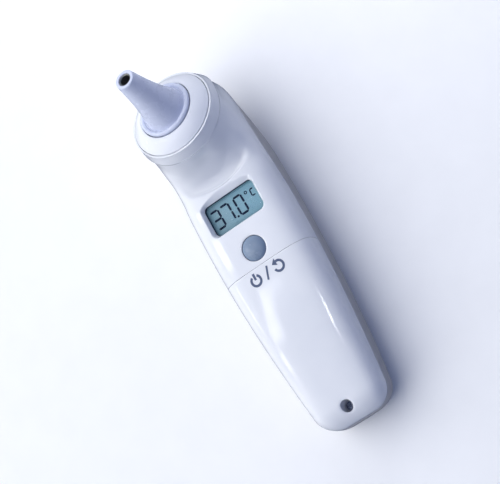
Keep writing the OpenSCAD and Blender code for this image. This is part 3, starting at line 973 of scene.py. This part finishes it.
def build_rear():
    shell = rear_shell()
    places = [(side * x, y) for x, y in HOUSING_SCREWS for side in (-1, 1)]
    bosses = [cylinder(3, 1, BOSS_TOP - 0.02, at(x, y, 0), 64) for x, y in places]
    bosses.append(cylinder(2.6, 1.62, 9.6, at(0, SCREW_Y, 0), 64))
    combine(shell, bosses, "UNION")
    cuts = []
    for x, y in places:
        cuts.append(cylinder(1.02, -5, 30, at(x, y, 0), 48))
        cuts.append(cylinder(2.1, -5, 4, at(x, y, 0), 64))
    cuts.append(cylinder(SCREW_HOLE_R, 2.5, 20, at(0, SCREW_Y, 0), 48))
    cuts.append(cylinder(SCAN_R + RUN, -6, 4, on_scan, 128))
    combine(shell, cuts, "DIFFERENCE")
    piece(shell, "housing", "rear_housing")


# ---------- nose and probe ----------
def build_nose():
    crown = [(11 + 6 * u, 0.3 + 3.9 * (1 - u ** 1.7), 0) for u in np.linspace(1, 0.18, 26)]
    crown[0] = (NOSE_R, 0.3, 0.12)
    profile = rounded([
        (NOSE_HOLE_R, 0, 0.2), (15.2, 0, 0), (15.2, -2.9, 0.2), (NOSE_R, -2.9, 0.2), *crown,
        (11.75, 4.14, 0.12), (NOSE_HOLE_R, 3.95, 0.15),
    ])
    piece(revolve("nose_ring_shell", profile, on_nose, 192), "housing", "nose_ring")


def cone_profile():
    lip = [(10.2 + 0.95 * math.cos(a), 4.3 + 0.95 * math.sin(a), 0) for a in arc(-30, 160, 14)]
    flare = []
    for u in np.linspace(0, 1, 40):
        t = 1 - u
        wide = TIP_R + (CONE_BASE_R - TIP_R) * (0.62 * t + 0.38 * t ** 3)
        flare.append((wide, CONE_Z + (CONE_LENGTH - 0.6) * u, 0))
    top = CONE_Z + CONE_LENGTH
    return rounded([
        (9.4, -2.8, 0.2), (11, -2.8, 0.2), (11, 3.6, 0), *lip,
        (9.25, 4.55, 0.1), (8.98, 4.6, 0.1), *flare,
        (TIP_R - 0.04, top - 0.02, 0.45), (2.6, top - 0.02, 0.35),
        (2.6, 22, 0), (6.9, 4, 0.5), (9.4, 1.5, 0.5),
    ])


def build_probe():
    cone = revolve("probe_cone_shell", cone_profile(), on_nose, 192)
    piece(cone, "housing", "probe_cone")
    top = CONE_Z + CONE_LENGTH
    inner_r = 1.95
    outer_r = 2.58
    profile = rounded([
        (inner_r, top - 4, 0), (outer_r, top - 4, 0), (outer_r, top - 0.35, 0.1), (inner_r, top - 0.6, 0.25),
    ])
    mouth = revolve("waveguide_mouth", profile, on_nose, 96)
    ride_only(mouth, "housing", "mouth")


# ---------- display ----------
def slab(name, w, h, low, high, place, radius=0.4, bevel=0.12):
    """A plate with rounded corners and eased edges."""
    m = Mesh()
    levels = ((bevel, low), (0, low + bevel), (0, high - bevel), (bevel, high))
    rings = []
    for inset, z in levels:
        outline = rounded_rectangle(w - 2 * inset, h - 2 * inset, max(radius - inset, 0.05))
        rings.append(m.ring(outline, z, place))
    m.face(rings[0][::-1])
    m.face(rings[-1])
    for a, b in zip(rings, rings[1:]):
        m.tube(a, b)
    return m.object(name, 50)


def segment(start, end, width, trim):
    """A long six-sided mark between two points, pointed at both ends and short of them by trim."""
    a, b = np.array(start, float), np.array(end, float)
    way = (b - a) / np.linalg.norm(b - a)
    side = np.array((-way[1], way[0])) * width / 2
    a, b = a + way * trim, b - way * trim
    tip = way * width / 2
    return [a, a + tip + side, b - tip + side, b, b - tip - side, a + tip - side]


DIGITS = {"3": "abgcd", "7": "abc", "0": "abcdef"}


def digit_marks(text, x, y, w, h, width):
    """The lit segments of one digit, whose lower left corner is at x, y, leaning to the right."""
    corners = {
        "a": ((0, h), (w, h)), "b": ((w, h), (w, h / 2)), "c": ((w, h / 2), (w, 0)),
        "d": ((0, 0), (w, 0)), "e": ((0, h / 2), (0, 0)), "f": ((0, h), (0, h / 2)),
        "g": ((0, h / 2), (w, h / 2)),
    }
    lean = -0.035
    out = []
    for key in DIGITS[text]:
        (ax, ay), (bx, by) = corners[key]
        out.append(segment((x + ax + ay * lean, y + ay), (x + bx + by * lean, y + by), width, 0.06))
    return out


def circle(x, y, r, count=24):
    return [(x + r * math.cos(a), y + r * math.sin(a)) for a in np.arange(count) * 2 * math.pi / count]


def band(points, width):
    """A stroke of even width along a line of points."""
    p = np.asarray(points, float)
    way = np.gradient(p, axis=0)
    way /= np.linalg.norm(way, axis=1)[:, None]
    side = np.stack([-way[:, 1], way[:, 0]], 1) * width / 2
    return [*(p + side), *(p - side)[::-1]]


def flat_marks(name, outlines, low, high, place):
    """Thin raised marks, one from each outline."""
    m = Mesh()
    for outline in outlines:
        o = np.asarray(outline, float)
        bottom = m.ring(o, low, place)
        top = m.ring(o, high, place)
        if len(o) > 8 and len(o) % 2 == 0 and is_band(o):
            for j in range(len(o) // 2 - 1):
                k = len(o) - 1 - j
                m.face((top[j], top[j + 1], top[k - 1], top[k]))
                m.face((bottom[k], bottom[k - 1], bottom[j + 1], bottom[j]))
        else:
            m.face(top)
            m.face(bottom[::-1])
        m.tube(bottom, top)
    return m.object(name, 30)


def is_band(outline):
    """Whether an outline came from band(): its two long sides run side by side."""
    n = len(outline)
    gaps = [np.linalg.norm(outline[j] - outline[n - 1 - j]) for j in range(n // 2)]
    return max(gaps) < min(gaps) * 1.2


def build_display():
    centre = at(0, DISPLAY_Y, 0)
    window = slab("window_pane", LCD_W, LCD_H, DISPLAY_Z - 0.9, DISPLAY_Z, centre, 1.0, 0.1)
    piece(window, "housing", "display_window")
    screen = slab("display_glass", LCD_W, LCD_H, LCD_TOP - 2.1, LCD_TOP, centre, 0.3, 0.08)
    piece(screen, "housing", "lcd_panel")
    # the mask is a dark border round the display and also painted shade: the strip of it seen at the top and
    # left stands for the shade under the lip
    outline = rounded_rectangle(LCD_W - 0.3, LCD_H - 0.3, 0.3)
    mask = prism("display_mask_painted_shade", outline, LCD_TOP, LCD_TOP + 0.05, centre)
    outline = rounded_rectangle(DISPLAY_W - 0.1, DISPLAY_H - 0.1, DISPLAY_CORNER)
    hole = prism("tool", outline, 20, 30, centre)
    combine(mask, [hole], "DIFFERENCE")
    ride_only(mask, "housing", "display_mask_painted_shade")
    marks = []
    for text, x in (("3", -9.9), ("7", -5.2), ("0", 1.0)):
        marks += digit_marks(text, x, -3.5, 3.45, 7.1, 0.86)
    marks.append(circle(-0.42, -3.3, 0.46))
    turn = np.linspace(0, 2 * math.pi, 25)
    marks.append(band(np.stack([6.45 + 0.5 * np.cos(turn), 2.9 + 0.5 * np.sin(turn)], 1), 0.38))
    letter = ((9.9, 2.95), (8.35, 2.95), (8.3, 0.35), (9.85, 0.35))
    for start, end in zip(letter, letter[1:]):
        marks.append(segment(start, end, 0.55, 0))
    shown = flat_marks("display_segments", marks, LCD_TOP, LCD_TOP + 0.04, centre)
    ride_only(shown, "housing", "segments")


# ---------- buttons ----------
def build_buttons():
    dome = []
    side = BUTTON_TOP - DOME_R + math.sqrt(DOME_R ** 2 - BUTTON_R ** 2)
    for a in arc(90, 3, 30):
        dome.append((BUTTON_R * math.cos(a), side + (BUTTON_TOP - side) * math.sin(a), 0))
    profile = rounded([
        (0, 22.7, 0), (1.5, 22.7, 0.1), (1.5, 23.4, 0), (BUTTON_R + 0.8, 23.4, 0.15),
        (BUTTON_R + 0.8, 24.9, 0.2), (BUTTON_R, 24.9, 0.1), (BUTTON_R, side - 0.12, 0), *dome[::-1],
    ])
    button = revolve("power_button_cap", profile, at(0, BUTTON_Y, 0), 128)
    piece(button, "power_button", "power_button")
    dish = [(r, 14 - math.sqrt(14 ** 2 - r ** 2) if r < 3.6 else 0.5, 0) for r in np.linspace(0, 3.5, 12)]
    profile = rounded([
        (0, -8, 0), (1.5, -8, 0.2), (1.5, -3.9, 0), (SCAN_R + 1.2, -3.9, 0.2), (SCAN_R + 1.2, -2.8, 0.2),
        (SCAN_R, -2.8, 0.1), (SCAN_R, 0.47, 0.35), (4.1, 0.47, 0.3), *dish[::-1],
    ])
    button = revolve("scan_button_cap", profile, on_scan, 128)
    piece(button, "scan_button", "scan_button")


# ---------- screws ----------
def cross_cuts(size, deep, place):
    """Two bars that cut a cross into a screw's head, downward from the height 0."""
    bars = []
    for w, h in ((size, size / 5), (size / 5, size)):
        bars.append(prism("tool", rounded_rectangle(w, h, 0.06), -deep, 1, place))
    return bars


def screw(name, head_r, shaft_r, head_h, length, place, slot_size):
    """A pan-head screw whose head ends at the height 0 and whose shaft runs down from it."""
    profile = rounded([
        (0, -length, 0), (shaft_r * 0.4, -length, 0), (shaft_r, -length + 1.2, 0.2), (shaft_r, -head_h, 0.05),
        (head_r, -head_h, 0.1), (head_r, -0.35, 0.3), (head_r * 0.6, -0.04, 0.8), (0, 0, 0),
    ])
    body = revolve(name, profile, place, 64)
    return combine(body, cross_cuts(slot_size, 0.75, place), "DIFFERENCE")


def flipped(x, y, z):
    """A placing for shapes that point down."""
    return lambda points: np.asarray(points, float) * (1, -1, -1) + (x, y, z)


def build_screws():
    top = SCREW_SEAT + 1.3
    shown = screw("cover_screw_body", 2.1, 0.95, 1.28, top - 3.4, at(0, SCREW_Y, top), 2.6)
    piece(shown, "cover_screw", "cover_screw")
    made = []
    for k, (x, y) in enumerate((side * x, y) for x, y in HOUSING_SCREWS for side in (-1, 1)):
        made.append(screw(f"housing_screw_{k + 1}", 1.9, 1.0, 1.2, 19.2, flipped(x, y, 2.8), 2.4))
    for obj in made:
        piece(obj, "housing", "housing_screws")


# ---------- cells and springs ----------
def along_y(x, y, z, way):
    """A placing for shapes that lie along the handle, pointing up it or down it."""
    return lambda points: np.stack([
        x + np.asarray(points)[:, 0] * way, y + np.asarray(points)[:, 2] * way, z - np.asarray(points)[:, 1],
    ], 1)


def build_cells():
    profile = rounded([
        (0, 0.15, 0), (3.9, 0.15, 0.1), (4.3, 0, 0.1), (CELL_R, 0, 0.35), (CELL_R, CELL_LENGTH - 1, 0.45),
        (4.2, CELL_LENGTH - 1, 0.2), (3.9, CELL_LENGTH - 1.3, 0.2), (2.2, CELL_LENGTH - 1.3, 0.2),
        (1.9, CELL_LENGTH - 1, 0.1), (1.9, CELL_LENGTH, 0.3), (0, CELL_LENGTH, 0),
    ])
    left = revolve("left_cell_body", profile, along_y(-CELL_X, FAR_Y - CELL_LENGTH, CELL_Z, 1), 96)
    piece(left, "housing", "left_cell")
    foot_y = PLATE_Y + PLATE_T + CELL_LENGTH
    right = revolve("right_cell_body", profile, along_y(CELL_X, foot_y, CELL_Z, -1), 96)
    piece(right, "housing", "right_cell")


def spring(name, place):
    """A conical coil of round wire, wide at its foot."""
    wire, turns, steps, sides = 0.24, 4.0, 160, 10
    t = np.linspace(0, 1, steps)
    a = t * turns * 2 * math.pi
    r = 3.1 - 0.95 * t
    z = wire + (SPRING_LENGTH - 2 * wire) * np.clip((t - 0.1) / 0.8, 0, 1)
    path = np.stack([r * np.cos(a), r * np.sin(a), z], 1)
    m = Mesh()
    rings = []
    for k in range(steps):
        out = np.array((math.cos(a[k]), math.sin(a[k]), 0))
        b = np.arange(sides) * 2 * math.pi / sides
        ring = path[k] + wire * (np.cos(b)[:, None] * out + np.sin(b)[:, None] * np.array((0, 0, 1)))
        rings.append(m.add(place(ring)))
    for low, high in zip(rings, rings[1:]):
        m.tube(low, high)
    m.face(rings[0][::-1])
    m.face(rings[-1])
    return m.object(name, 60)


def build_springs():
    left = spring("left_spring_coil", along_y(-CELL_X, PLATE_Y + PLATE_T, CELL_Z, 1))
    right = spring("right_spring_coil", along_y(CELL_X, FAR_Y, CELL_Z, -1))
    for obj in (left, right):
        piece(obj, "housing", "battery_springs")


# ---------- printed marks on the battery cover ----------
def front_height(x, y):
    """Height of the front's surface over a point of the handle."""
    _, front_z, _, back_z, half, power, _, share = station(y / STEP_Y)
    return front_z - share * (front_z - back_z) * (1 - (1 - (abs(x) / half) ** power) ** (1 / power))


def on_cover(points):
    p = np.asarray(points, float)
    return np.array([(x, y, front_height(x, y) + z) for x, y, z in p])


def build_marks():
    """A power symbol, a stroke and a recall arrow, printed under the button."""
    turn = np.radians(np.linspace(122, 418, 40))
    ring = band(np.stack([-5.4 + 2.0 * np.cos(turn), 62.7 + 2.0 * np.sin(turn)], 1), 0.95)
    bar = band(np.stack([np.full(8, -5.4), np.linspace(63.0, 65.6, 8)], 1), 0.95)
    stroke = band(np.stack([np.linspace(-1.0, 0.9, 8), np.linspace(60.5, 65.4, 8)], 1), 0.8)
    turn = np.radians(np.linspace(-165, 110, 40))
    loop = band(np.stack([5.2 + 2.0 * np.cos(turn), 62.9 + 2.0 * np.sin(turn)], 1), 0.95)
    tip = np.array((5.2 + 2.0 * math.cos(turn[-1]), 62.9 + 2.0 * math.sin(turn[-1])))
    head = [tip + (-1.6, -0.4), tip + (0.4, -1.5), tip + (0.15, 1.5)]
    marks = flat_marks("cover_marks", [ring, bar, stroke, loop, head], -0.02, 0.05, on_cover)
    ride_only(marks, "cover", "marks")


# ---------- room, light and camera ----------
TARGET = np.array((0.0, 5.45, 16.8)) * MM
AZIMUTH = math.radians(18.592)
ELEVATION = math.radians(-15.343)
TILT = math.radians(29.004)
AWAY = 0.7
VIEW_RIGHT = Vector((math.cos(AZIMUTH), 0, -math.sin(AZIMUTH)))
VIEW_UP = Vector((
    -math.sin(AZIMUTH) * math.sin(ELEVATION), math.cos(ELEVATION), -math.cos(AZIMUTH) * math.sin(ELEVATION),
))
TO_CAMERA = VIEW_RIGHT.cross(VIEW_UP)
RIGHT = VIEW_RIGHT * math.cos(TILT) - VIEW_UP * math.sin(TILT)
UP = VIEW_RIGHT * math.sin(TILT) + VIEW_UP * math.cos(TILT)


def build_camera():
    data = bpy.data.cameras.new("camera")
    data.sensor_width = 36
    data.lens = 133.2072
    data.shift_x = -0.01394
    data.shift_y = -0.01278
    data.dof.use_dof = False
    camera = bpy.data.objects.new("camera", data)
    turn = Matrix((RIGHT, UP, TO_CAMERA)).transposed()
    camera.matrix_world = Matrix.Translation(Vector(TARGET) + TO_CAMERA * AWAY) @ turn.to_4x4()
    bpy.context.scene.collection.objects.link(camera)
    bpy.context.scene.camera = camera


def panel(name, way, size, brightness, roll=0.0, far=1.0, mirrored=True):
    """A light panel, far metres from the object, with its second side in line with the handle.

    A mirrored one shows only in the gloss. The others light the object and don't show in it.
    """
    data = bpy.data.lights.new(name, "AREA")
    data.shape = "RECTANGLE"
    data.size, data.size_y = size
    data.energy = brightness * math.pi * size[0] * size[1]
    light = bpy.data.objects.new(name, data)
    out = Vector(way).normalized()
    along = (Vector((0, 1, 0)) - out * out.y).normalized()
    turn = Matrix((along.cross(out), along, out)).transposed() @ Matrix.Rotation(math.radians(roll), 3, "Z")
    light.visible_diffuse = not mirrored
    light.visible_glossy = mirrored
    light.matrix_world = Matrix.Translation(Vector(TARGET) + out * far) @ turn.to_4x4()
    bpy.context.scene.collection.objects.link(light)


def build_world():
    """Sky light that is bright on the left and dims to a cool blue on the right."""
    world = bpy.data.worlds.new("studio")
    world.use_nodes = True
    tree = world.node_tree
    back = tree.nodes["Background"]
    coords = tree.nodes.new("ShaderNodeTexCoord")
    across = tree.nodes.new("ShaderNodeVectorMath")
    across.operation = "DOT_PRODUCT"
    across.inputs[1].default_value = (0.94, -0.34, 0)
    tree.links.new(coords.outputs["Generated"], across.inputs[0])
    slope = ranged(tree, across.outputs["Value"], 0, 1, -0.6, 0.6)
    sky = mixed(tree, slope, (0.78, 0.84, 0.95), (0.06, 0.16, 0.55))
    rise = ranged(tree, coordinate(tree, "Generated", "Z"), 0, 1, -0.25, 0.25)
    tree.links.new(mixed(tree, rise, (0.22, 0.27, 0.42), sky), back.inputs["Color"])
    back.inputs["Strength"].default_value = 0.44
    bpy.context.scene.world = world


def build_lights():
    panel("key", (-0.65, 0.2, 0.74), (1.8, 1.8), 1.9, mirrored=False)
    panel("fill", (0.45, 0.85, 0.45), (0.2, 0.2), 1.35, far=0.24, mirrored=False)
    # the panes of a window, which the gloss mirrors
    for row in range(6):
        left, right = -0.385 - 0.011 * row ** 2, -0.305 - 0.009 * row
        middle = (left + right) / 2
        way = (middle, 0.12 - 0.02 * row, math.sqrt(1 - middle ** 2))
        panel("pane_row", way, (right - left, 0.021), 3.4)
    panel("pane_low", (-0.66, -0.032, 0.75), (0.2, 0.03), 4.5)
    panel("pane_side", (-0.8, 0.115, 0.6), (0.05, 0.13), 5)
    panel("pane_head", (-0.62, 0.26, 0.74), (0.28, 0.09), 3.5)
    panel("pane_ridge", (-0.14, 0.365, 0.925), (0.2, 0.04), 5)
    panel("pane_neck", (-0.68, 0.38, 0.63), (0.34, 0.035), 4.5)
    panel("glint", (0.172, -0.138, 0.985), (0.03, 0.03), 8)
    panel("sliver", (0.187, -0.019, 0.982), (0.18, 0.018), 22, 19.7)
    build_world()
    bpy.context.scene.view_settings.view_transform = "Standard"


def build_floor():
    m = Mesh()
    size, step = 1500, 41
    side = np.linspace(-size, size, step)
    grid = [m.add([(x, y, 0) for x in side]) for y in side]
    m.sheet(grid)
    floor = m.object("floor")
    give(floor, plastic("floor_paper", (0.93, 0.935, 0.95), (0.91, 0.915, 0.93), (0.6, 0.7), grain=2e-5))
    # the gloss doesn't mirror the paper, so the object's lower edges stay darker than the paper
    floor.visible_glossy = False


def dress_cad_nodes():
    """Materials for the CAD nodes that stay."""
    for name in (
        "waveguide_tube", "tip_window", "sensor_holder", "thermopile_sensor", "sensor_board", "sensor_ribbon",
        "lcd_frame", "lcd_connector_strips", "main_board", "microcontroller", "board_components",
        "power_switch", "scan_switch", "battery_tray", "bridge_plate", "terminal_plates", "buzzer",
    ):
        give(NODES[name], MATERIALS[name])


build_camera()
build_front()
build_cover()
build_rear()
build_nose()
build_probe()
build_display()
build_buttons()
build_screws()
build_cells()
build_springs()
build_marks()
dress_cad_nodes()
build_floor()
build_lights()
